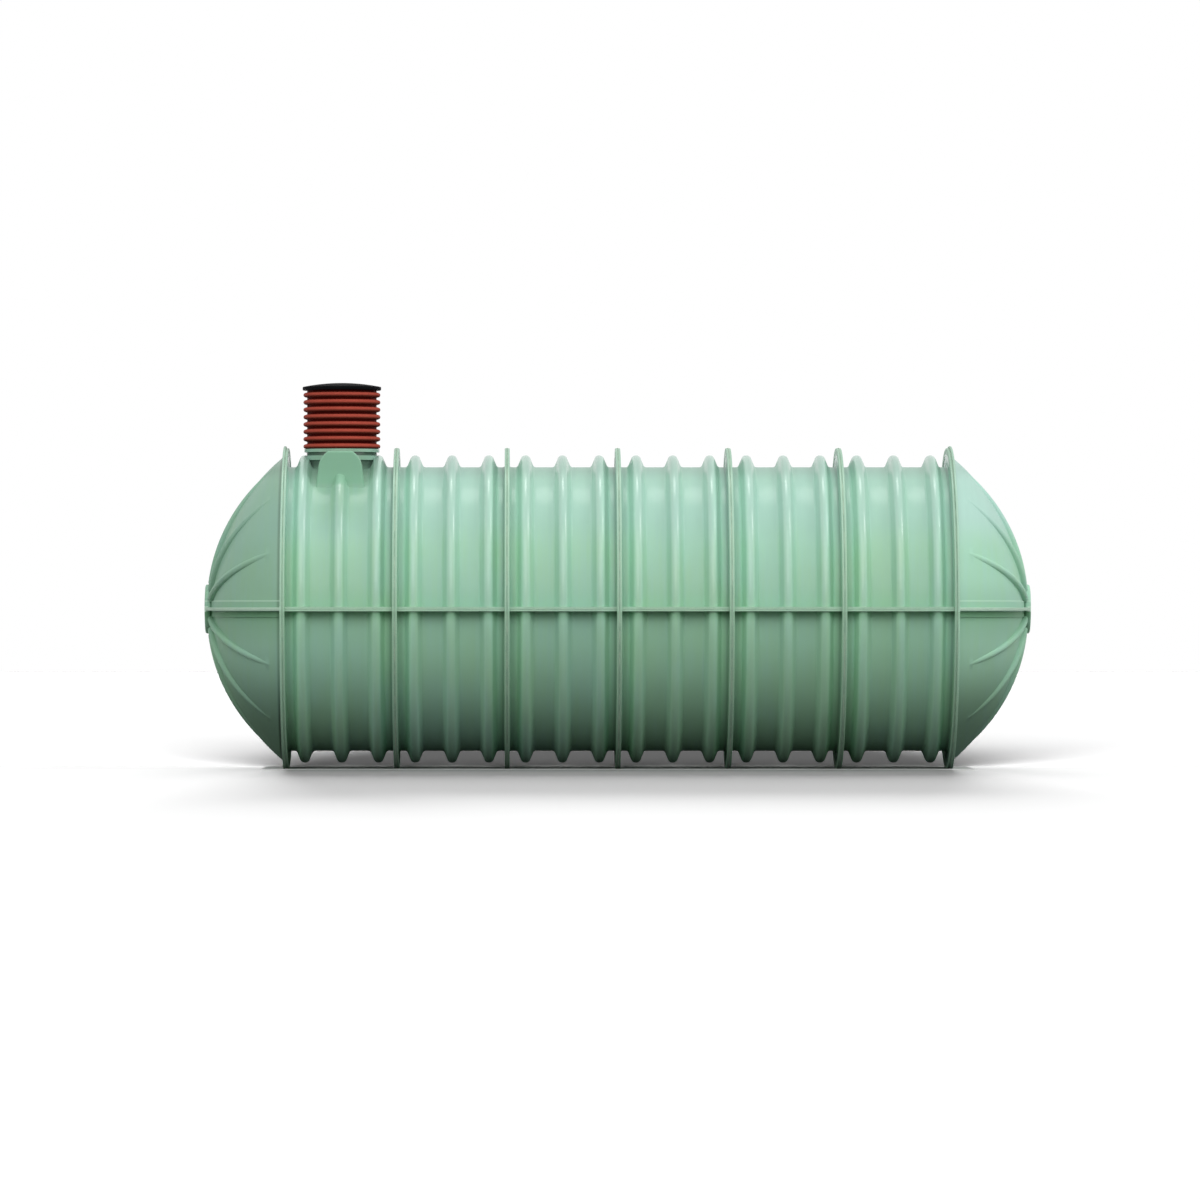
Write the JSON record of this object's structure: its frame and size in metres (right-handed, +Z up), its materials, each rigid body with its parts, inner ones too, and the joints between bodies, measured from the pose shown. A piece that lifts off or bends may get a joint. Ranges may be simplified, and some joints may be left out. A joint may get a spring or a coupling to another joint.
{
  "type": "horizontal sectional water tank with access riser",
  "caption": "Light green ribbed GRP water tank lying on its flange feet, joined from half shells with domed ends, a terracotta corrugated access riser and a black lid.",
  "frame": {"origin": "on the ground plane under the middle of the tank, midway between the two end hubs", "axes": "+X along the tank away from the riser end, +Y to the back, +Z up"},
  "size_m": [6.44, 2.54, 3.0024],
  "materials": {
    "grp_green": "semi-gloss",
    "seal_paste": "matt",
    "riser_plastic": "satin",
    "lid_plastic": "satin"
  },
  "bodies": {
    "root": {"upper_shell_bay_1": "grp_green", "upper_shell_bay_2": "grp_green", "upper_shell_bay_3": "grp_green", "upper_shell_bay_4": "grp_green", "upper_shell_bay_5": "grp_green", "upper_shell_bay_6": "grp_green", "lower_shell_bay_1": "grp_green", "lower_shell_bay_2": "grp_green", "lower_shell_bay_3": "grp_green", "lower_shell_bay_4": "grp_green", "lower_shell_bay_5": "grp_green", "lower_shell_bay_6": "grp_green", "left_dome_upper": "grp_green", "left_dome_lower": "grp_green", "right_dome_upper": "grp_green", "right_dome_lower": "grp_green", "left_hub": "grp_green", "right_hub": "grp_green", "ring_seal_1": "seal_paste", "ring_seal_2": "seal_paste", "ring_seal_3": "seal_paste", "ring_seal_4": "seal_paste", "ring_seal_5": "seal_paste", "ring_seal_6": "seal_paste", "ring_seal_7": "seal_paste", "riser_pipe": "riser_plastic", "riser_rings": "riser_plastic", "riser_lid": "lid_plastic"}
  },
  "joints": []
}
